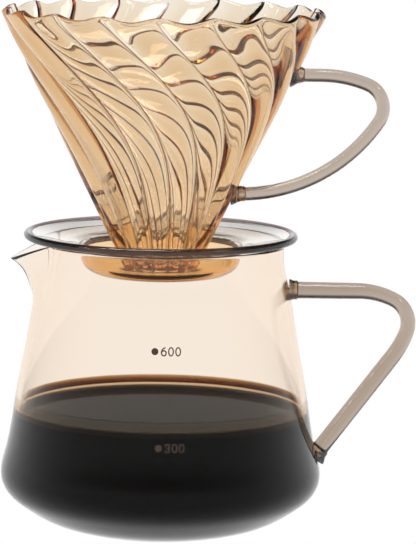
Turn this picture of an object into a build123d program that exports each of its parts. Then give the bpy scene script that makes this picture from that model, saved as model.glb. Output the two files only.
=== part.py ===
from build123d import *
import math
import os

os.makedirs("parts", exist_ok=True)

# A blown-glass pour over dripper standing on its glass server. Millimetres, +Z up.
# The origin is the centre of the server's foot, +X points to the handles and the
# spout is on the -X side.

# Server: the outside of its wall from foot to lip, as (radius, height).
SERVER_OUTLINE = [
    (33.0, 0.0), (43.0, 3.2), (52.0, 8.5), (57.4, 13.4), (59.3, 18.2), (57.9, 27.5),
    (54.0, 49.3), (49.9, 72.0), (46.4, 91.0), (44.6, 100.0), (44.6, 105.0),
]
SERVER_WALL = 2.0
SERVER_FLOOR = 3.0
LIP_ROUND = 1.0
COFFEE_LEVEL = 43.6

# Spout: cross sections along -X, as (x, half width, top, bottom).
SPOUT_SECTIONS = [(-34.0, 17.5, 104.6, 80.0), (-45.5, 11.5, 104.2, 88.0), (-57.0, 3.2, 99.4, 96.4)]
SPOUT_WALL = 1.7
SPOUT_BELLY = 0.86  # half width at mid height, as a share of the half width at the top
MOUTH_CLEAR = 12.0  # how far the space cut out of the mouth and the spout reaches past the lip

# Dripper: a ribbed cone set in the well of a round saucer that rests on the server's lip.
DRIPPER_SHIFT = -1.0
RIM_Z = 191.2
RIM_R = 59.9
CONE_SLOPE = 0.4935
CONE_FOOT_Z = 94.0
CONE_WALL = 1.9
RIB_COUNT = 18
RIB_DEPTH = 1.1
FULL_RIB_R = 25.0  # below this radius the ribs get shallower
RIB_START = -91.2
CONE_LEVELS = 14
TWIST = 52.5
TWIST_REACH = 33.0
TWIST_POWER = 1.45

# Saucer: its underside from rim to well floor, and the height of its glass above that.
SAUCER_RIM_R = 49.2
SAUCER_RIM_Z = 108.5
RIM_BEAD_R = 1.45
WELL_R = 29.8
WELL_CORNER = 5.5
WELL_TURN = 8.0
WELL_HOLE_R = 5.0
WELL_FLOOR_Z = 93.6
SAUCER_WALL = 1.7
SAUCER_EDGE_Z = 107.45
SAUCER_EDGE_DEPTH = 1.2  # how far the dish reaches into the rim bead
WELL_EDGE_Z = 103.75
WELL_EDGE_ROUND = (1.4, 0.8)  # width and height of the softened edge inside the well
WELD_R = 2.6

# Handles: bent rods that leave along +X, as (straight run, bend radius, turn in degrees).
SERVER_ROD_R = 3.05
SERVER_ROD_Z = 88.8
SERVER_ROD_START = 44.0
SERVER_ROD_BENDS = [(28.4, 29.5, 26.2), (0.0, 9.9, 84.7), (0.0, 39.0, 15.9)]
SERVER_ROD_TAIL = 48.0
SERVER_UPPER_JOINT = (6.3, 3.7)  # length along the rod and radius
SERVER_LOWER_JOINT = (8.4, 4.0)
DRIPPER_ROD_R = 2.45
DRIPPER_ROD_Z = 168.5
DRIPPER_ROD_START = 42.0
DRIPPER_ROD_BENDS = [(16.5, 44.7, 21.9), (0.0, 9.2, 101.4), (0.0, 60.8, 56.7)]
DRIPPER_ROD_TAIL = 6.0
DRIPPER_UPPER_JOINT = (9.5, 2.9)
DRIPPER_LOWER_JOINT = (8.6, 3.3)

# Volume marks on the front of the server's wall.
ENAMEL = 0.12
STROKE = 0.45
DIGIT_W = 1.65
DIGIT_H = 2.85
DIGIT_PITCH = 2.55
DOT_R = 1.25
DOT_GAP = 1.95  # from the dot's edge to the middle of the first digit
MARK_300 = (-0.1, 39.0)
MARK_600 = (-1.9, 73.0)


def inset(points, distance):
    """Move each point of an open outline towards the axis side by distance."""
    moved = []
    for i, (r, z) in enumerate(points):
        before = points[max(i - 1, 0)]
        after = points[min(i + 1, len(points) - 1)]
        dr = after[0] - before[0]
        dz = after[1] - before[1]
        length = math.hypot(dr, dz)
        moved.append((r - distance * dz / length, z + distance * dr / length))
    return moved


def spun(lines):
    """Turn a closed outline in the XZ plane round the Z axis."""
    return revolve(Plane.XZ * make_face(lines), Axis.Z)


def server_outside():
    """The whole space inside the server's outer surface, spout included."""
    end_r, end_z = SERVER_OUTLINE[-1]
    inner_r = end_r - SERVER_WALL
    wall = Spline(*SERVER_OUTLINE)
    crown = ((end_r + inner_r) / 2, end_z + LIP_ROUND)
    lip = ThreePointArc((end_r, end_z), crown, (inner_r, end_z))
    base = Polyline((inner_r, end_z), (0, end_z), (0, 0), SERVER_OUTLINE[0])
    return spun(wall + lip + base) + spout(0.0, 0.0)


def cavity_lines(top_z):
    """The outline of the space inside the server's wall, closed at top_z above the lip."""
    inside = inset(SERVER_OUTLINE, SERVER_WALL)[1:]
    inside[-1] = (SERVER_OUTLINE[-1][0] - SERVER_WALL, SERVER_OUTLINE[-1][1])
    floor_r = SERVER_OUTLINE[0][0]
    wall = Spline((floor_r, SERVER_FLOOR), *inside)
    mouth_r = inside[-1][0]
    rest = Polyline(inside[-1], (mouth_r, top_z), (0, top_z), (0, SERVER_FLOOR), (floor_r, SERVER_FLOOR))
    return wall + rest


def spout(thin, rise):
    """The spout's wedge: thin takes that much off its sides, and rise carries it past its top."""
    sections = []
    for x, half, top, bottom in SPOUT_SECTIONS:
        w = half - thin
        low = bottom + thin
        side = SPOUT_BELLY * w
        middle = (top + low) / 2
        lid_z = top + rise + 0.01
        curve = Spline((w, top), (side, middle), (0, low), (-side, middle), (-w, top))
        lid = Polyline((-w, top), (-w, lid_z), (w, lid_z), (w, top))
        plane = Plane(origin=(x, 0, 0), x_dir=(0, 1, 0), z_dir=(1, 0, 0))
        sections.append(plane * make_face(curve + lid))
    return loft(sections)


def bent_rod(start, bends, tail, radius):
    """A round rod in the XZ plane that leaves start along +X, bends to the right and ends in a tail."""
    point = Vector(*start)
    heading = Vector(1, 0)
    path = Curve()
    for run, bend_radius, turn in bends:
        if run:
            straight = Line(point, point + heading * run)
            path += straight
            point = straight @ 1
        bend = JernArc(point, heading, bend_radius, -turn)
        path += bend
        point = bend @ 1
        heading = bend % 1
    path += Line(point, point + heading * tail)
    path = Plane.XZ * path
    section = Plane(origin=path @ 0, z_dir=path % 0) * Circle(radius)
    return sweep(section, path=path), path


def joint_stub(path, end, size):
    """A stub of glass round the end of a rod where it leaves (end 0) or where it lands (end 1)."""
    heading = path % end
    if end:
        heading = -heading
    length, radius = size
    base = (Align.CENTER, Align.CENTER, Align.MIN)
    return Plane(origin=path @ end, z_dir=heading) * Cylinder(radius, length, align=base)


def twist(z):
    """How far the ribs have turned, in degrees, from the rim down to height z."""
    drop = max(RIM_Z - z, 0.0)
    return TWIST * (1 - math.exp(-(drop / TWIST_REACH) ** TWIST_POWER))


def cone_radius(z):
    """The radius over the ribs' crests at height z."""
    return RIM_R - CONE_SLOPE * (RIM_Z - z)


def petal_ring(z, thin):
    """The closed wire at height z: a bulging arc from each rib to the next, drawn thin inside."""
    crest_r = cone_radius(z) - thin
    rib_r = crest_r - RIB_DEPTH * min(1.0, cone_radius(z) / FULL_RIB_R)

    def at(r, step):
        angle = math.radians(RIB_START + twist(z) + 360 * step / RIB_COUNT)
        return (r * math.cos(angle), r * math.sin(angle), z)

    petals = [ThreePointArc(at(rib_r, k), at(crest_r, k + 0.5), at(rib_r, k + 1)) for k in range(RIB_COUNT)]
    return Wire(petals)


def petal_solid(thin):
    """The filled cone from foot to rim, its petals turning with height."""
    height = RIM_Z - CONE_FOOT_Z
    levels = [CONE_FOOT_Z + height * i / CONE_LEVELS for i in range(CONE_LEVELS + 1)]
    return Solid.make_loft([petal_ring(z, thin) for z in levels])


def cone_wall(outer, inner):
    """The glass between two petal solids, open at the rim and at the foot."""
    sides = [face for solid in (outer, inner) for face in solid.faces() if face.geom_type != GeomType.PLANE]
    ends = [Face(petal_ring(z, 0), [petal_ring(z, CONE_WALL)]) for z in (CONE_FOOT_Z, RIM_Z)]
    return Solid(Shell(sides + ends))


def saucer():
    """The dish that rests on the lip, with its round well, without the rolled rim."""
    edge_r = SAUCER_RIM_R - SAUCER_EDGE_DEPTH
    flat_r = WELL_R - WELL_TURN
    corner_z = WELL_FLOOR_Z + WELL_CORNER
    inner_r = WELL_R - SAUCER_WALL
    floor_z = WELL_FLOOR_Z + SAUCER_WALL
    dish_z = WELL_EDGE_Z + SAUCER_WALL
    under = Polyline((edge_r, SAUCER_EDGE_Z), (WELL_R, WELL_EDGE_Z), (WELL_R, corner_z))
    turn = RadiusArc((WELL_R, corner_z), (flat_r, WELL_FLOOR_Z), WELL_TURN)
    hole = ((WELL_HOLE_R, WELL_FLOOR_Z), (WELL_HOLE_R, floor_z))
    floor = Polyline((flat_r, WELL_FLOOR_Z), *hole, (flat_r, floor_z))
    back = RadiusArc((flat_r, floor_z), (inner_r, corner_z), SAUCER_WALL - WELL_TURN)
    round_w, round_h = WELL_EDGE_ROUND
    soft_edge = ((inner_r, dish_z - 0.75 * round_h), (inner_r + round_w, dish_z + 0.25 * round_h))
    rim = ((edge_r, SAUCER_EDGE_Z + SAUCER_WALL), (edge_r, SAUCER_EDGE_Z))
    top = Polyline((inner_r, corner_z), *soft_edge, *rim)
    return spun(under + turn + floor + back + top)


def weld_ring():
    """The fillet of glass where the cone stands on the well's floor."""
    floor_z = WELL_FLOOR_Z + SAUCER_WALL
    top_z = floor_z + WELD_R
    root_r = cone_radius(floor_z) - RIB_DEPTH
    edge_r = root_r + 1
    slope = ((edge_r + WELD_R, floor_z), (edge_r + 0.4 * WELD_R, floor_z + 0.5 * WELD_R), (edge_r, top_z))
    return spun(Polyline((root_r, floor_z), *slope, (root_r, top_z), close=True))


def oval_stroke(half_w, half_h):
    """One stroke round an oval."""
    half = STROKE / 2
    return Ellipse(half_w + half, half_h + half) - Ellipse(half_w - half, half_h - half)


def digit(kind):
    """The digit 0, 3 or 6, standing on the origin and centred on it."""
    half_w = DIGIT_W / 2
    half_h = DIGIT_H / 2
    if kind == 0:
        return Pos(0, half_h) * oval_stroke(half_w, half_h)
    if kind == 3:
        loop = oval_stroke(half_h / 2, half_h / 2)
        mouth_x = -half_w - STROKE / 3
        mouth = Pos(mouth_x, half_h) * Rectangle(DIGIT_W, 0.42 * DIGIT_H)
        return Pos(0, 0.5 * half_h) * loop + Pos(0, 1.5 * half_h) * loop - mouth
    bowl_h = 0.31 * DIGIT_H
    bowl = Pos(0, bowl_h) * oval_stroke(half_w, bowl_h)
    tail = ThreePointArc((-half_w, bowl_h), (-0.5 * half_w, 0.8 * DIGIT_H), (0.7 * half_w, DIGIT_H))
    return bowl + trace(tail, STROKE)


def volume_mark(first_digit, place, outside):
    """A dot and three digits of enamel, cut from the thin skin over the wall."""
    x, z = place
    skin = enamel_skin(outside, place)
    shapes = [Pos(x, z) * Circle(DOT_R)]
    for i, kind in enumerate([first_digit, 0, 0]):
        digit_x = x + DOT_R + DOT_GAP + i * DIGIT_PITCH
        shapes.append(Pos(digit_x, z - DIGIT_H / 2) * digit(kind))
    past_wall = 2 * SERVER_OUTLINE[4][0]
    solids = []
    for shape in shapes:
        bar = extrude(Plane.XZ * shape, amount=past_wall)
        solids += (skin & bar).solids()
    return Compound(children=solids)


def enamel_skin(outside, place):
    """The thin layer just outside the server's wall, round one volume mark."""
    outline = inset(SERVER_OUTLINE, -ENAMEL)[2:-2]
    wall = Spline(*outline)
    cap = Polyline(outline[-1], (0, outline[-1][1]), (0, outline[0][1]), outline[0])
    x, z = place
    patch_w = 8 * DIGIT_PITCH
    patch_h = 3.5 * DIGIT_H
    patch = Pos(x + patch_w / 4, -SERVER_OUTLINE[4][0], z) * Box(patch_w, 1.5 * patch_w, patch_h)
    return (spun(wall + cap) - outside) & patch


pieces = {}

# Server
outside = server_outside()
cavity = spun(cavity_lines(SERVER_OUTLINE[-1][1] + MOUTH_CLEAR))
pieces["server_body"] = outside - cavity - spout(SPOUT_WALL, MOUTH_CLEAR)
widest = 2 * SERVER_OUTLINE[4][0]
below_level = Box(widest, widest, COFFEE_LEVEL, align=(Align.CENTER, Align.CENTER, Align.MIN))
pieces["brewed_coffee"] = cavity & below_level

rod, path = bent_rod((SERVER_ROD_START, SERVER_ROD_Z), SERVER_ROD_BENDS, SERVER_ROD_TAIL, SERVER_ROD_R)
upper = joint_stub(path, 0, SERVER_UPPER_JOINT)
lower = joint_stub(path, 1, SERVER_LOWER_JOINT)
pieces["server_handle"] = rod - outside - upper - lower
pieces["server_handle_upper_joint"] = upper - outside
pieces["server_handle_lower_joint"] = lower - outside

pieces["mark_300"] = volume_mark(3, MARK_300, outside)
pieces["mark_600"] = volume_mark(6, MARK_600, outside)

# Dripper
cone_outside = petal_solid(0)
bead = Pos(0, 0, SAUCER_RIM_Z) * Torus(SAUCER_RIM_R, RIM_BEAD_R)
dripper = {}
dripper["dripper_cone"] = cone_wall(cone_outside, petal_solid(CONE_WALL))
dripper["dripper_saucer"] = saucer() - cone_outside - bead
dripper["saucer_rim_bead"] = bead
dripper["cone_weld_ring"] = weld_ring() - cone_outside

rod, path = bent_rod((DRIPPER_ROD_START, DRIPPER_ROD_Z), DRIPPER_ROD_BENDS, DRIPPER_ROD_TAIL, DRIPPER_ROD_R)
upper = joint_stub(path, 0, DRIPPER_UPPER_JOINT)
lower = joint_stub(path, 1, DRIPPER_LOWER_JOINT)
dripper["dripper_handle"] = rod - cone_outside - upper - lower
dripper["dripper_handle_upper_joint"] = upper - cone_outside
dripper["dripper_handle_lower_joint"] = lower - cone_outside

for name, solid in dripper.items():
    pieces[name] = Pos(DRIPPER_SHIFT, 0, 0) * solid

for name, solid in pieces.items():
    export_step(solid, f"parts/{name}.step")
    print(name, "solids", len(solid.solids()), "volume", round(solid.volume, 1))
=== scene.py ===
import math

import bpy
import numpy as np
from mathutils import Matrix, Vector


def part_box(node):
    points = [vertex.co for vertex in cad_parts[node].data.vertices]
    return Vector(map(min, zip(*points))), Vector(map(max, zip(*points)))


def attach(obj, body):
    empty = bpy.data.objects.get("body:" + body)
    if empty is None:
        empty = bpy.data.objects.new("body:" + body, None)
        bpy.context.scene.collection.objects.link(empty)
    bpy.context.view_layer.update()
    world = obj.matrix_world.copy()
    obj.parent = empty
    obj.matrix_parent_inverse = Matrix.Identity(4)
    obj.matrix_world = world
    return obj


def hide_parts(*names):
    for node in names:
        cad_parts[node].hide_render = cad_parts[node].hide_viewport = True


# A smoke-tinted glass pour over dripper on its glass server, half full of coffee.
# Sizes are in millimetres and are turned into metres when a mesh is made.

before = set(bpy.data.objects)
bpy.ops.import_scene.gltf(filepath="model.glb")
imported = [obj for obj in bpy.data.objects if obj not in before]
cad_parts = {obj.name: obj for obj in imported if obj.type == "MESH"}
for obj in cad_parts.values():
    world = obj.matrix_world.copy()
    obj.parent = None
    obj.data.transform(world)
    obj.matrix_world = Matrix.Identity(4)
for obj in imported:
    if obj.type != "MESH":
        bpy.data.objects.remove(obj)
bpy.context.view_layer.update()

MM = 0.001
TAU = 2 * math.pi


def corner(node, side):
    """The lowest (side 0) or highest (side 1) corner of a CAD node, in millimetres."""
    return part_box(node)[side] / MM


# ---------------------------------------------------------------- camera

LENS = 236.0
SENSOR_WIDTH = 36
CLIP_NEAR = 0.05  # metres
CLIP_FAR = 60
CAMERA_DISTANCE = 1318.7
CAMERA_AIM_Z = 95.0
CAMERA_X = 16.6
CAMERA_PITCH = 8.0
CAMERA_ROLL = 0.9


def make_camera():
    """A long lens in front of the object, looking a little down on it."""
    data = bpy.data.cameras.new("camera")
    data.lens = LENS
    data.sensor_width = SENSOR_WIDTH
    data.clip_start = CLIP_NEAR
    data.clip_end = CLIP_FAR
    camera = bpy.data.objects.new("camera", data)
    bpy.context.scene.collection.objects.link(camera)
    pitch = math.radians(CAMERA_PITCH)
    back = CAMERA_DISTANCE * math.cos(pitch)
    height = CAMERA_AIM_Z + CAMERA_DISTANCE * math.sin(pitch)
    place = Matrix.Translation(Vector((CAMERA_X, -back, height)) * MM)
    tilt = Matrix.Rotation(math.radians(90 - CAMERA_PITCH), 4, "X")
    roll = Matrix.Rotation(math.radians(CAMERA_ROLL), 4, "Z")
    camera.matrix_world = place @ tilt @ roll
    bpy.context.scene.camera = camera


# ---------------------------------------------------------------- curves and meshes


def spline(points, steps):
    """Points along a natural cubic spline through points, steps to each span."""
    p = np.array(points, float)
    h = np.linalg.norm(np.diff(p, axis=0), axis=1)
    count = len(p)
    a = np.eye(count)
    b = np.zeros_like(p)
    for i in range(1, count - 1):
        a[i, i - 1:i + 2] = h[i - 1], 2 * (h[i - 1] + h[i]), h[i]
        b[i] = 6 * ((p[i + 1] - p[i]) / h[i] - (p[i] - p[i - 1]) / h[i - 1])
    m = np.linalg.solve(a, b)
    line = []
    for i in range(count - 1):
        for u in h[i] * np.arange(steps) / steps:
            w = h[i] - u
            curve = (m[i] * w ** 3 + m[i + 1] * u ** 3) / (6 * h[i])
            before = (p[i] / h[i] - m[i] * h[i] / 6) * w
            after = (p[i + 1] / h[i] - m[i + 1] * h[i] / 6) * u
            line.append(curve + before + after)
    line.append(p[-1])
    return [tuple(q) for q in line]


def arc(centre, radius, start, end, steps):
    """Points on an arc from start to end, in degrees."""
    turns = np.radians(np.linspace(start, end, steps + 1))
    return [(centre[0] + radius * math.cos(t), centre[1] + radius * math.sin(t)) for t in turns]


def inset(points, distance):
    """Each point of an open outline moved towards its left-hand side by distance."""
    p = np.array(points, float)
    d = np.gradient(p, axis=0)
    d /= np.linalg.norm(d, axis=1)[:, None]
    return [(x - distance * dy, y + distance * dx) for (x, y), (dx, dy) in zip(p, d)]


def smoothstep(low, high, x):
    t = min(max((x - low) / (high - low), 0.0), 1.0)
    return t * t * (3 - 2 * t)


def piece(name, rings, material, body, nodes, closed=False, poles=(None, None)):
    """A mesh through rings of points, each ring joined to the next, that stands for CAD nodes.

    closed joins the last ring to the first. A pole is a point that closes the first or the last ring.
    """
    rings = np.array(rings, float)
    count, cols = rings.shape[:2]
    verts = [tuple(v) for v in rings.reshape(-1, 3) * MM]
    faces = []
    for i in range(count if closed else count - 1):
        a = i * cols
        b = (i + 1) % count * cols
        for j in range(cols):
            k = (j + 1) % cols
            faces.append((a + j, a + k, b + k, b + j))
    for pole, row, flip in ((poles[0], 0, True), (poles[1], count - 1, False)):
        if pole is not None:
            verts.append(tuple(np.array(pole) * MM))
            tip = len(verts) - 1
            for j in range(cols):
                k = (j + 1) % cols
                a, b = row * cols + j, row * cols + k
                faces.append((b, a, tip) if flip else (a, b, tip))
    mesh = bpy.data.meshes.new(name)
    mesh.from_pydata(verts, [], faces)
    mesh.update()
    mesh.polygons.foreach_set("use_smooth", [True] * len(mesh.polygons))
    mesh.materials.append(material)
    obj = bpy.data.objects.new(name, mesh)
    bpy.context.scene.collection.objects.link(obj)
    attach(obj, body)
    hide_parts(*nodes)


def spun_rings(outline, angles, centre_x=0.0, warp=None):
    """Rings of an outline of (radius, height) turned about an upright axis, moved by warp if it is given."""
    rings = []
    for r, z in outline:
        ring = []
        for angle in angles:
            rr, zz = warp(r, z, angle) if warp else (r, z)
            ring.append((centre_x + rr * math.cos(angle), rr * math.sin(angle), zz))
        rings.append(ring)
    return rings


def even_angles(count):
    return [TAU * i / count for i in range(count)]


# ---------------------------------------------------------------- materials


class Nodes:
    """A short way to write the node tree of a material or a world."""

    def __init__(self, owner, output="ShaderNodeOutputMaterial"):
        self.owner = owner
        owner.use_nodes = True
        self.tree = owner.node_tree
        self.tree.nodes.clear()
        self.out = self.add(output)

    def add(self, kind, settings=None, **inputs):
        """A node with its settings, and with each input given a value or linked to a socket."""
        node = self.tree.nodes.new(kind)
        for key, value in (settings or {}).items():
            setattr(node, key, value)
        for key, value in inputs.items():
            self.feed(node.inputs[key.replace("_", " ")], value)
        return node

    def feed(self, socket, value):
        if isinstance(value, bpy.types.NodeSocket):
            self.tree.links.new(value, socket)
        else:
            socket.default_value = value

    def math(self, operation, *values):
        """The result of a sum on one, two or three numbers."""
        node = self.add("ShaderNodeMath", {"operation": operation})
        for socket, value in zip(node.inputs, values):
            self.feed(socket, value)
        return node.outputs[0]

    def smooth(self, value, low, high, start=0.0, end=1.0):
        """value brought smoothly from low..high to start..end."""
        node = self.add("ShaderNodeMapRange", {"interpolation_type": "SMOOTHSTEP"}, Value=value)
        node.inputs["From Min"].default_value = low
        node.inputs["From Max"].default_value = high
        node.inputs["To Min"].default_value = start
        node.inputs["To Max"].default_value = end
        return node.outputs["Result"]

    def ramp(self, fac, stops, interpolation="LINEAR"):
        """A colour ramp with stops of (position, colour)."""
        node = self.add("ShaderNodeValToRGB", Fac=fac)
        elements = node.color_ramp.elements
        node.color_ramp.interpolation = interpolation
        while len(elements) < len(stops):
            elements.new(0.5)
        for element, (position, colour) in zip(elements, stops):
            element.position = position
            element.color = (*colour, 1)
        return node.outputs["Color"]

    def mix(self, share, a, b):
        """Colour a, or colour b where share is 1."""
        node = self.add("ShaderNodeMix", {"data_type": "RGBA"})
        for index, value in ((0, share), (6, a), (7, b)):
            self.feed(node.inputs[index], value)
        return node.outputs[2]

    def surface(self, shader):
        self.tree.links.new(shader.outputs[0], self.out.inputs["Surface"])


def new_material(name):
    return Nodes(bpy.data.materials.new(name))


CLEAR = (1, 1, 1)
WAVE_DEPTH = 0.002  # metres


def glass(name, absorb, density, wave=0.02, wave_scale=60.0, gloss=CLEAR, ior=1.48):
    """Hand-worked glass: clear, tinted through its thickness, with slow waves in its surface.

    A gloss below 1 dims its mirror reflections.
    """
    n = new_material(name)
    place = n.add("ShaderNodeTexCoord")
    slow = n.add(
        "ShaderNodeTexNoise", Vector=place.outputs["Object"], Scale=wave_scale, Detail=1.5, Roughness=0.4,
    )
    bump = n.add("ShaderNodeBump", Strength=wave, Distance=WAVE_DEPTH, Height=slow.outputs["Fac"])
    surface = n.add(
        "ShaderNodeBsdfPrincipled", Base_Color=(*CLEAR, 1), Roughness=0.0, IOR=ior,
        Transmission_Weight=1.0, Specular_Tint=(*gloss, 1), Normal=bump.outputs["Normal"],
    )
    volume = n.add("ShaderNodeVolumeAbsorption", Color=(*absorb, 1), Density=density)
    n.surface(surface)
    n.feed(n.out.inputs["Volume"], volume.outputs["Volume"])
    return n.owner


def coffee_body_material():
    """Coffee too deep to see through, with faint dark red glints painted into its colour as painted
    reflections.
    """
    n = new_material("coffee_body")
    place = n.add("ShaderNodeTexCoord").outputs["Object"]
    flat = n.add("ShaderNodeMapping", Vector=place, Scale=(1.0, 1.0, 5.0))
    painted_glint_noise = n.add("ShaderNodeTexNoise", Vector=flat.outputs["Vector"], Scale=16.0, Detail=2.0, Distortion=0.6)
    # Near black, with dark red streaks of painted reflection.
    stops = [(0.55, (0.0012, 0.0009, 0.0009)), (0.66, (0.006, 0.001, 0.0016)), (0.74, (0.022, 0.0015, 0.004))]
    colour = n.ramp(painted_glint_noise.outputs["Fac"], stops)
    n.surface(n.add("ShaderNodeBsdfPrincipled", Base_Color=colour, Roughness=0.5, Specular_IOR_Level=0.0))
    return n.owner


def enamel_material():
    """Fired enamel with a fine grain."""
    n = new_material("mark_enamel")
    place = n.add("ShaderNodeTexCoord")
    grain = n.add("ShaderNodeTexNoise", Vector=place.outputs["Object"], Scale=4000.0, Detail=2.0)
    colour = n.ramp(grain.outputs["Fac"], [(0.3, (0.035, 0.018, 0.01)), (0.7, (0.06, 0.034, 0.022))])
    n.surface(n.add("ShaderNodeBsdfPrincipled", Base_Color=colour, Roughness=0.45))
    return n.owner


# ---------------------------------------------------------------- server

SERVER_OUTLINE = [
    (33.0, 0.0), (43.0, 3.2), (52.0, 8.5), (57.4, 13.4), (59.3, 18.2), (57.9, 27.5),
    (54.0, 49.3), (49.9, 72.0), (46.4, 91.0), (44.6, 100.0), (44.6, 105.0),
]
SERVER_WALL = 2.0
SERVER_FLOOR = 3.0
SPOUT_HALF = math.radians(23)
SPOUT_FOOT = 84.0
SPOUT_REACH = 12.4
SPOUT_DROP = 6.6
SPOUT_ROUND = math.radians(1.2)
SPOUT_FINE = 73
SERVER_REST = 161
SERVER_STEPS = 10
FOOT_RADII = (6, 14, 22, 29)
LIP_Z = 105.0


def spout_pull(r, z, angle):
    """Draws the upper wall out and down into the spout, which points along -X."""
    side = math.hypot(abs(angle - math.pi), SPOUT_ROUND)
    if side > SPOUT_HALF or z < SPOUT_FOOT:
        return r, z
    across = (1 - side / SPOUT_HALF) ** 1.25
    up = (z - SPOUT_FOOT) / (LIP_Z - SPOUT_FOOT)
    return r + SPOUT_REACH * across * up ** 1.15, z - SPOUT_DROP * across * up ** 2


def server_angles():
    """Angles round the server, closer together at the spout."""
    fine = np.linspace(math.pi - SPOUT_HALF, math.pi + SPOUT_HALF, SPOUT_FINE)
    rest = np.linspace(math.pi + SPOUT_HALF, 3 * math.pi - SPOUT_HALF, SERVER_REST)[1:-1]
    return [a % TAU for a in np.concatenate([fine, rest])]


def inner_outline():
    """The inside of the server's wall, from its floor up to the mouth."""
    inside = inset(SERVER_OUTLINE, SERVER_WALL)[1:-1]
    mouth = (SERVER_OUTLINE[-1][0] - SERVER_WALL, SERVER_OUTLINE[-1][1])
    return spline([(SERVER_OUTLINE[0][0], SERVER_FLOOR), *inside, mouth], SERVER_STEPS)


def make_server(material):
    outside = spline(SERVER_OUTLINE, SERVER_STEPS)
    mouth_r = SERVER_OUTLINE[-1][0] - SERVER_WALL / 2
    lip = arc((mouth_r, LIP_Z), SERVER_WALL / 2, 0, 180, SERVER_STEPS)[1:-1]
    foot = [(r, 0.0) for r in FOOT_RADII]
    floor = [(r, SERVER_FLOOR) for r in FOOT_RADII[::-1]]
    outline = foot + outside + lip + inner_outline()[::-1] + floor
    rings = spun_rings(outline, server_angles(), warp=spout_pull)
    piece("server_body_glass", rings, material, "server", ["server_body"],
          poles=((0, 0, 0), (0, 0, SERVER_FLOOR)))


# ---------------------------------------------------------------- coffee

COFFEE_GRIP = 0.2
FILM_DEPTH = 1.6
COFFEE_COLS = 160
SKIN_GAP = 0.02
LID_SHARES = (1.0, 0.8, 0.5, 0.2)
THIN_FILM = 0.06  # what is left of the film's thickness on the front of the wall
# The film of coffee that climbs the wall, as (height above the level, thickness).
FILM = [(0.0, 0.3), (0.8, 0.22), (1.2, 1.5), (1.9, 1.35), (2.8, 0.85), (3.7, 0.4), (4.1, 0.1)]


def make_coffee(body_material, surface_material):
    """The black body of the coffee, and its clear amber skin that climbs the wall at the edge."""
    level = corner("brewed_coffee", 1).z
    inside = inner_outline()
    heights = [z for _, z in inside]
    radii = [r + COFFEE_GRIP for r, _ in inside]

    def wall_r(z):
        return float(np.interp(z, heights[1:], radii[1:]))

    floor_z = SERVER_FLOOR - COFFEE_GRIP
    under = level - FILM_DEPTH
    floor = [(r, floor_z) for r in (6, 16, 26)]
    wall = [(r, z) for r, z in zip(radii, heights) if z < under - 0.5]
    lid = [(wall_r(under) * share, under) for share in LID_SHARES]
    rings = spun_rings(floor + wall + lid, even_angles(COFFEE_COLS))
    piece("brewed_coffee_liquid", rings, body_material, "server", ["brewed_coffee"],
          poles=((0, 0, floor_z), (0, 0, under)))

    skin = [(wall_r(under) * share, under + SKIN_GAP) for share in LID_SHARES[::-1]]
    climb = [(wall_r(level + rise), level + rise) for rise, _ in FILM]
    film = [(wall_r(level + rise) - thick, level + rise) for rise, thick in FILM[::-1]]
    top = [(film[-1][0] - gap, level) for gap in (0.6, 2.0, 6.0, 14.0, 26.0, 40.0)]

    def drain(r, z, angle):
        """The film is thinner on the front of the wall."""
        thick = wall_r(z) - r
        share = THIN_FILM + (1 - THIN_FILM) * smoothstep(-0.1, 0.6, math.sin(angle))
        return (wall_r(z) - thick * share, z) if z > level and thick < 2 else (r, z)

    rings = spun_rings(skin + climb + film + top, even_angles(COFFEE_COLS), warp=drain)
    piece("brewed_coffee_surface", rings, surface_material, "server", ["brewed_coffee"],
          poles=((0, 0, under + SKIN_GAP), (0, 0, level)))


# ---------------------------------------------------------------- handles


def rod_line(start, bends, tail, step=0.8):
    """Points and headings along a rod in the XZ plane that leaves start along +X and bends to the right."""
    x, z = start
    heading = 0.0
    line = [(x, z, heading)]
    for run, radius, turn in [*bends, (tail, 0.0, 0.0)]:
        for _ in range(round(run / step)):
            length = run / round(run / step)
            x += length * math.cos(heading)
            z += length * math.sin(heading)
            line.append((x, z, heading))
        if turn:
            count = max(round(radius * math.radians(turn) / step), 2)
            bit = math.radians(turn) / count
            for _ in range(count):
                chord = 2 * radius * math.sin(bit / 2)
                x += chord * math.cos(heading - bit / 2)
                z += chord * math.sin(heading - bit / 2)
                heading -= bit
                line.append((x, z, heading))
    return line


def rod_rings(line, radius_at, cols=96):
    """Rings round a rod's line. radius_at gives the radius at a length along it."""
    rings = []
    length = 0.0
    for i, (x, z, heading) in enumerate(line):
        if i:
            length += math.dist((x, z), line[i - 1][:2])
        r = radius_at(length)
        up = (-math.sin(heading), math.cos(heading))
        ring = []
        for angle in even_angles(cols):
            lift = r * math.cos(angle)
            ring.append((x + up[0] * lift, -r * math.sin(angle), z + up[1] * lift))
        rings.append(ring)
    return rings, length


# Bends are (straight run before the bend, radius of the bend, degrees turned).
# Beads are (radius at the wall, radius on the rod, length).
SERVER_ROD_R = 3.05
SERVER_ROD_X = 46.8
SERVER_ROD_THIN = 0.12
SERVER_UPPER_BEAD = (4.0, 3.45, 3.4)
SERVER_UPPER_BEAD_X = 46.7
SERVER_LOWER_BEAD = (4.6, 3.4, 4.6)
SERVER_ROD_BENDS = [(25.6, 29.5, 26.2), (0.0, 9.9, 84.7), (0.0, 39.0, 15.9)]
SERVER_ROD_TAIL = 47.0
DRIPPER_ROD_R = 2.45
DRIPPER_ROD_X = 46.6
DRIPPER_UPPER_BEAD = (4.6, 2.7, 5.4)
DRIPPER_LOWER_BEAD = (4.2, 2.7, 5.6)
DRIPPER_LOWER_BEAD_SINK = 0.6
DRIPPER_ROD_BENDS = [(12.0, 44.7, 21.9), (0.0, 9.2, 101.4), (0.0, 60.8, 56.7)]
DRIPPER_ROD_TAIL = 2.6
WAIST_PLACE = 0.45  # how far along the bends a rod is thinnest
WAIST_REACH = 16
ROOT_SWELL = 0.16
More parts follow.
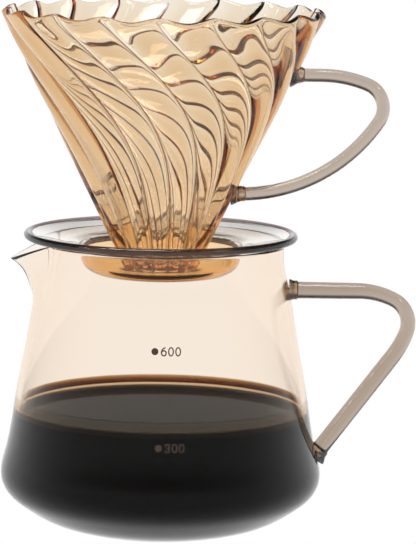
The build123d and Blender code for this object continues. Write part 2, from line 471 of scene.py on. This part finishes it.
ROOT_REACH = 1.6
BEAD_RIPPLE = 0.12
BEAD_ROUND = 0.15  # share of a bead's length that its end is rounded over


def make_rod(name, start, bends, tail, radius, thin, material, body, node):
    """A bent glass rod, drawn thinner round its bend by the share thin."""
    line = rod_line(start, bends, tail)
    total = rod_rings(line, lambda s: radius)[1]
    middle = bends[0][0] + WAIST_PLACE * sum(r * math.radians(t) for _, r, t in bends)

    def radius_at(s):
        waist = math.exp(-((s - middle) / WAIST_REACH) ** 2)
        root = math.exp(-s / ROOT_REACH) + math.exp(-(total - s) / ROOT_REACH)
        return radius * (1 - thin * waist + ROOT_SWELL * root)

    rings, _ = rod_rings(line, radius_at)
    first, last = line[0], line[-1]
    piece(name, rings, material, body, [node],
          poles=((first[0], 0, first[1]), (last[0], 0, last[1])))


def make_collar(name, point, heading, bead, material, body, node):
    """The gather of glass round a rod's end: a trumpet from the wall at point out along heading."""
    root, tip, length = bead
    line = []
    for s in np.linspace(0, length, 19):
        line.append((point[0] + s * math.cos(heading), point[1] + s * math.sin(heading), heading))

    def radius_at(s):
        t = min(s / length, 1.0)
        ripple = BEAD_RIPPLE * math.sin(9.0 * t)
        end = min(1.0, (1.0 - t) / BEAD_ROUND)
        return (tip + (root - tip) * (1 - t) ** 1.6 + ripple) * (0.75 + 0.25 * math.sqrt(max(end, 0)))

    rings, _ = rod_rings(line, radius_at)
    first, last = line[0], line[-1]
    piece(name, rings, material, body, [node],
          poles=((first[0], 0, first[1]), (last[0], 0, last[1])))


def make_server_handle(glass_rod, glass_joint):
    top = corner("server_handle_upper_joint", 0)
    rod_z = (top.z + corner("server_handle_upper_joint", 1).z) / 2
    start = (SERVER_ROD_X, rod_z)
    line = rod_line(start, SERVER_ROD_BENDS, SERVER_ROD_TAIL)
    make_rod("server_handle_rod", start, SERVER_ROD_BENDS, SERVER_ROD_TAIL, SERVER_ROD_R, SERVER_ROD_THIN,
             glass_rod, "server", "server_handle")
    make_collar("server_handle_upper_bead", (SERVER_UPPER_BEAD_X, rod_z), 0.0, SERVER_UPPER_BEAD,
                glass_joint, "server", "server_handle_upper_joint")
    end = line[-1]
    make_collar("server_handle_lower_bead", end[:2], end[2] + math.pi, SERVER_LOWER_BEAD,
                glass_joint, "server", "server_handle_lower_joint")


def make_dripper_handle(glass_rod, glass_joint):
    low = corner("dripper_handle_upper_joint", 0)
    high = corner("dripper_handle_upper_joint", 1)
    rod_z = (low.z + high.z) / 2
    start = (DRIPPER_X + DRIPPER_ROD_X, rod_z)
    line = rod_line(start, DRIPPER_ROD_BENDS, DRIPPER_ROD_TAIL)
    make_rod("dripper_handle_rod", start, DRIPPER_ROD_BENDS, DRIPPER_ROD_TAIL, DRIPPER_ROD_R, 0.0,
             glass_rod, "dripper", "dripper_handle")
    make_collar("dripper_handle_upper_bead", start, 0.0, DRIPPER_UPPER_BEAD,
                glass_joint, "dripper", "dripper_handle_upper_joint")
    end = line[-1]
    foot = (end[0] - DRIPPER_LOWER_BEAD_SINK, end[1])
    make_collar("dripper_handle_lower_bead", foot, end[2] + math.pi, DRIPPER_LOWER_BEAD,
                glass_joint, "dripper", "dripper_handle_lower_joint")


# ---------------------------------------------------------------- dripper

DRIPPER_X = (corner("dripper_saucer", 0).x + corner("dripper_saucer", 1).x) / 2
RIM_Z = 190.7
RIM_R = 59.9
CONE_SLOPE = 0.4935
CONE_FOOT_Z = 94.0
CONE_WALL = 3.2
EDGE_ROUND = 0.9
FLUTE = 0.3
RIM_FLUTE = 1.6
PETAL_LENS = 1.9
CREASE = 0.45
CREASE_POWER = 14
RIPPLE = 0.03
FULL_RIB_R = 30.0
RIB_COUNT = 18
RIB_START = math.radians(-91.2)
RIM_WAVE = 0.85
TWIST = math.radians(52.5)
TWIST_REACH = 33.0
TWIST_POWER = 1.45
RIM_START = 0.9  # share of the way up where the wall starts to shape itself to the rim
RIM_THIN = 0.6
RIM_LENS = 0.4
PER_PETAL = 20
LEVELS = 96


def twist(z):
    """How far the ribs have turned from the rim down to height z."""
    drop = max(RIM_Z - z, 0.0)
    return TWIST * (1 - math.exp(-(drop / TWIST_REACH) ** TWIST_POWER))


def cone_point(t, k, u, out):
    """The point at share t of the way up and share u across petal k.

    out is 1 on the outside of the wall and 0 on the inside.
    """
    thin = smoothstep(RIM_START, 1.0, t)
    wave = RIM_WAVE * math.cos(TAU * u) * thin
    z = CONE_FOOT_Z + (RIM_Z - CONE_FOOT_Z) * t + wave
    crest = RIM_R - CONE_SLOPE * (RIM_Z - z)
    scale = min(1.0, crest / FULL_RIB_R)
    off = abs(2 * u - 1)
    flute = (FLUTE + RIM_FLUTE * smoothstep(0.6, 1.0, t)) * off ** 2
    lens = PETAL_LENS * (1 - RIM_LENS * thin) * off ** 2 + CREASE * off ** CREASE_POWER
    lens += RIPPLE * math.cos(3 * TAU * u) * (1 - smoothstep(0.15, 0.55, t))
    outer = crest - scale * (flute + lens)
    inner = crest - CONE_WALL + RIM_THIN * thin - scale * flute
    r = inner + (outer - inner) * out
    angle = RIB_START + twist(z) + (k + u) * TAU / RIB_COUNT
    return (DRIPPER_X + r * math.cos(angle), r * math.sin(angle), z)


def make_cone(material):
    """The ribbed cone: petals, thickest in their middle, meet in creases that turn as they run down."""
    shares = [0.5 - 0.5 * math.cos(math.pi * i / PER_PETAL) for i in range(PER_PETAL)]

    def ring(t, out):
        return [cone_point(t, k, u, out) for k in range(RIB_COUNT) for u in shares]

    shares_up = [i / LEVELS for i in range(LEVELS + 1)]
    rings = [ring(t, 1.0) for t in shares_up]
    for a in np.linspace(0, math.pi, 9)[1:-1]:
        crown = ring(1.0, 0.5 + 0.5 * math.cos(a))
        rings.append([(x, y, z + EDGE_ROUND * math.sin(a)) for x, y, z in crown])
    rings += [ring(t, 0.0) for t in shares_up[::-1]]
    piece("dripper_cone_glass", rings, material, "dripper", ["dripper_cone"],
          closed=True)


# Threads of near-black glass laid in the cone's creases: painted shade for the dark crease lines.
RIB_R = 0.42
SHADE_THREAD_SINK = 0.12
SHADE_THREAD_SPAN = (0.09, 0.985)
SHADE_THREAD_STEPS = 90
SHADE_THREAD_COLS = 10


def make_crease_shade_threads(material):
    """A thin dark thread in each crease of the cone: painted shade for the dark line that the crease shows
    where it bends the light.
    """
    for k in range(RIB_COUNT):
        shares = np.linspace(*SHADE_THREAD_SPAN, SHADE_THREAD_STEPS)
        path = np.array([cone_point(t, k, 0.0, 1.0) for t in shares])
        headings = np.gradient(path, axis=0)
        headings /= np.linalg.norm(headings, axis=1)[:, None]
        rings = []
        for t, point, heading in zip(shares, path, headings):
            out = np.array([point[0] - DRIPPER_X, point[1], 0.0])
            out -= heading * (out @ heading)
            out /= np.linalg.norm(out)
            side = np.cross(heading, out)
            r = RIB_R * (1 - 0.5 * smoothstep(RIM_START, 1.0, t))
            middle = point - out * SHADE_THREAD_SINK
            spokes = [out * math.cos(a) + side * math.sin(a) for a in even_angles(SHADE_THREAD_COLS)]
            rings.append([middle + r * spoke for spoke in spokes])
        piece(f"dripper_cone_crease_shade_{k + 1:02d}", rings, material, "dripper", ["dripper_cone"],
              poles=(path[0] - headings[0] * RIB_R, path[-1] + headings[-1] * RIB_R))


WELL_R = 29.8
WELL_EDGE_R = 1.15
WELL_EDGE_IN = 0.3
WELL_EDGE_Z = 104.2
SAUCER_COLS = 200
SAUCER_WALL = 1.7
SAUCER_RIM_R = 49.2
SAUCER_RIM_Z = 108.5
RIM_BEAD_R = 1.4


def make_saucer(dish_material, well_material, edge_material):
    """The pale dish, the deeper tinted well with a hole for the cone's foot, and the edge between."""
    well = [(11.5, 93.6), (16, 93.6), (21.5, 93.9), (25.5, 95.2), (28.5, 97.8), (29.7, 101.0), (30.2, 102.8)]
    dish = [(30.6, 103.4), (32.2, 104.2), (36.0, 105.0), (42.0, 106.3), (48.4, 107.8)]
    for name, under, material in (("dish", dish, dish_material), ("well", well, well_material)):
        line = spline(under, 8)
        rings = spun_rings(line + inset(line, SAUCER_WALL)[::-1], even_angles(SAUCER_COLS), DRIPPER_X)
        piece(f"dripper_{name}_glass", rings, material, "dripper", ["dripper_saucer"],
              closed=True)
    edge = arc((WELL_R - WELL_EDGE_IN, WELL_EDGE_Z), WELL_EDGE_R, 0, 360, 16)[:-1]
    rings = spun_rings(edge, even_angles(SAUCER_COLS), DRIPPER_X)
    piece("well_edge_glass", rings, edge_material, "dripper", ["dripper_saucer"], closed=True)


def make_rim_bead(material):
    """The rolled rim, thick enough to look almost black."""
    outline = arc((SAUCER_RIM_R, SAUCER_RIM_Z), RIM_BEAD_R, 0, 360, 20)[:-1]
    rings = spun_rings(outline, even_angles(240), DRIPPER_X)
    piece("saucer_rim_bead_glass", rings, material, "dripper", ["saucer_rim_bead"],
          closed=True)


def make_weld(material):
    """The fillet of glass that joins the cone's foot to the well's floor."""
    outline = [(11.9, 95.2), (15.4, 95.2), (14.3, 95.7), (13.6, 96.6), (13.3, 97.8), (12.3, 97.8)]
    rings = spun_rings(outline, even_angles(120), DRIPPER_X)
    piece("cone_weld_glass", rings, material, "dripper", ["cone_weld_ring"],
          closed=True)


# ---------------------------------------------------------------- studio

# Places and sizes here are in metres, and powers in watts.
FLOOR_WHITE = 1.0
FLOOR_HALF = 25.0
HORIZON = (1.05, 1.05, 1.05, 1)
OVERHEAD = (0.1, 0.09, 0.08, 1)
DIM_START = 0.12  # sine of the angle above the horizon where the studio starts to dim
DIM_END = 0.45  # and where it is as dim as it gets
LIGHT_AIM = (0, 0, 0.1)
LIGHTS = [  # name, place, size, power
    ("top_box", (-0.3, -0.3, 1.6), 1.0, 26),
    ("left_box", (-1.3, -0.5, 0.9), 0.3, 2),
    ("right_box", (1.3, -0.9, 1.2), 0.3, 2),
]
GLASS_BOUNCES = 32
GLOSSY_BOUNCES = 12
TRANSPARENT_BOUNCES = 16


def make_floor():
    """A plain white floor that runs out of sight, lit evenly from below like a light table."""
    n = new_material("floor")
    n.surface(n.add("ShaderNodeEmission", Color=(FLOOR_WHITE, FLOOR_WHITE, FLOOR_WHITE, 1)))
    mesh = bpy.data.meshes.new("floor")
    corners = [(x * FLOOR_HALF, y * FLOOR_HALF, 0) for x, y in ((-1, -1), (1, -1), (1, 1), (-1, 1))]
    mesh.from_pydata(corners, [], [(0, 1, 2, 3)])
    mesh.materials.append(n.owner)
    floor = bpy.data.objects.new("floor", mesh)
    bpy.context.scene.collection.objects.link(floor)


def make_world():
    """Plain soft light: a white studio that is dimmer overhead and the same all round."""
    world = bpy.data.worlds.new("studio")
    bpy.context.scene.world = world
    n = Nodes(world, "ShaderNodeOutputWorld")
    place = n.add("ShaderNodeTexCoord").outputs["Generated"]
    high = n.add("ShaderNodeSeparateXYZ", Vector=place).outputs["Z"]
    colour = n.mix(n.smooth(high, DIM_START, DIM_END), HORIZON, OVERHEAD)
    n.surface(n.add("ShaderNodeBackground", Color=colour))


def make_lights():
    """Soft boxes above and at the sides."""
    for name, place, size, power in LIGHTS:
        data = bpy.data.lights.new(name, "AREA")
        data.size = size
        data.energy = power
        light = bpy.data.objects.new(name, data)
        light.location = place
        aim = Vector(LIGHT_AIM) - Vector(place)
        light.rotation_mode = "QUATERNION"
        light.rotation_quaternion = aim.to_track_quat("-Z", "Y")
        bpy.context.scene.collection.objects.link(light)


def finish_look():
    """Plain colours, and enough bounces for light to get through the glass."""
    scene = bpy.context.scene
    scene.view_settings.view_transform = "Standard"
    scene.cycles.max_bounces = GLASS_BOUNCES
    scene.cycles.transmission_bounces = GLASS_BOUNCES
    scene.cycles.glossy_bounces = GLOSSY_BOUNCES
    scene.cycles.transparent_max_bounces = TRANSPARENT_BOUNCES


make_camera()

# The server's gloss is low so that the coffee in it stays dark above a white floor.
server_glass = glass("server_glass", (0.87, 0.5, 0.08), 90.0, gloss=(0.3, 0.3, 0.3))
handle_glass = glass("handle_glass", (0.52, 0.39, 0.27), 300.0, wave=0.0)
cone_glass = glass("cone_glass", (0.84, 0.6, 0.22), 250.0)
# Near-black glass that barely bends light, for the threads of painted shade in the cone's creases.
crease_shade_glass = glass("crease_shade_glass", (0.6, 0.364, 0.084), 2600.0, ior=1.01)
dish_glass = glass("dish_glass", (0.6, 0.45, 0.3), 90.0)
well_glass = glass("well_glass", (0.92, 0.66, 0.15), 480.0)
joint_glass = glass("joint_glass", (0.8, 0.6, 0.3), 110.0, wave=0.15, wave_scale=400.0)
rim_glass = glass("rim_glass", (0.42, 0.28, 0.3), 620.0)
coffee_skin = glass("coffee_skin", (0.66, 0.47, 0.16), 5400.0, wave=0.0, gloss=(1, 0.7, 0.62), ior=1.032)

make_server(server_glass)
make_coffee(coffee_body_material(), coffee_skin)
make_server_handle(handle_glass, joint_glass)
make_cone(cone_glass)
make_crease_shade_threads(crease_shade_glass)
make_saucer(dish_glass, well_glass, joint_glass)
make_rim_bead(rim_glass)
make_weld(joint_glass)
make_dripper_handle(handle_glass, joint_glass)

enamel = enamel_material()
for node in ("mark_300", "mark_600"):
    for material_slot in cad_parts[node].material_slots:
        material_slot.material = enamel

make_floor()
make_world()
make_lights()
finish_look()
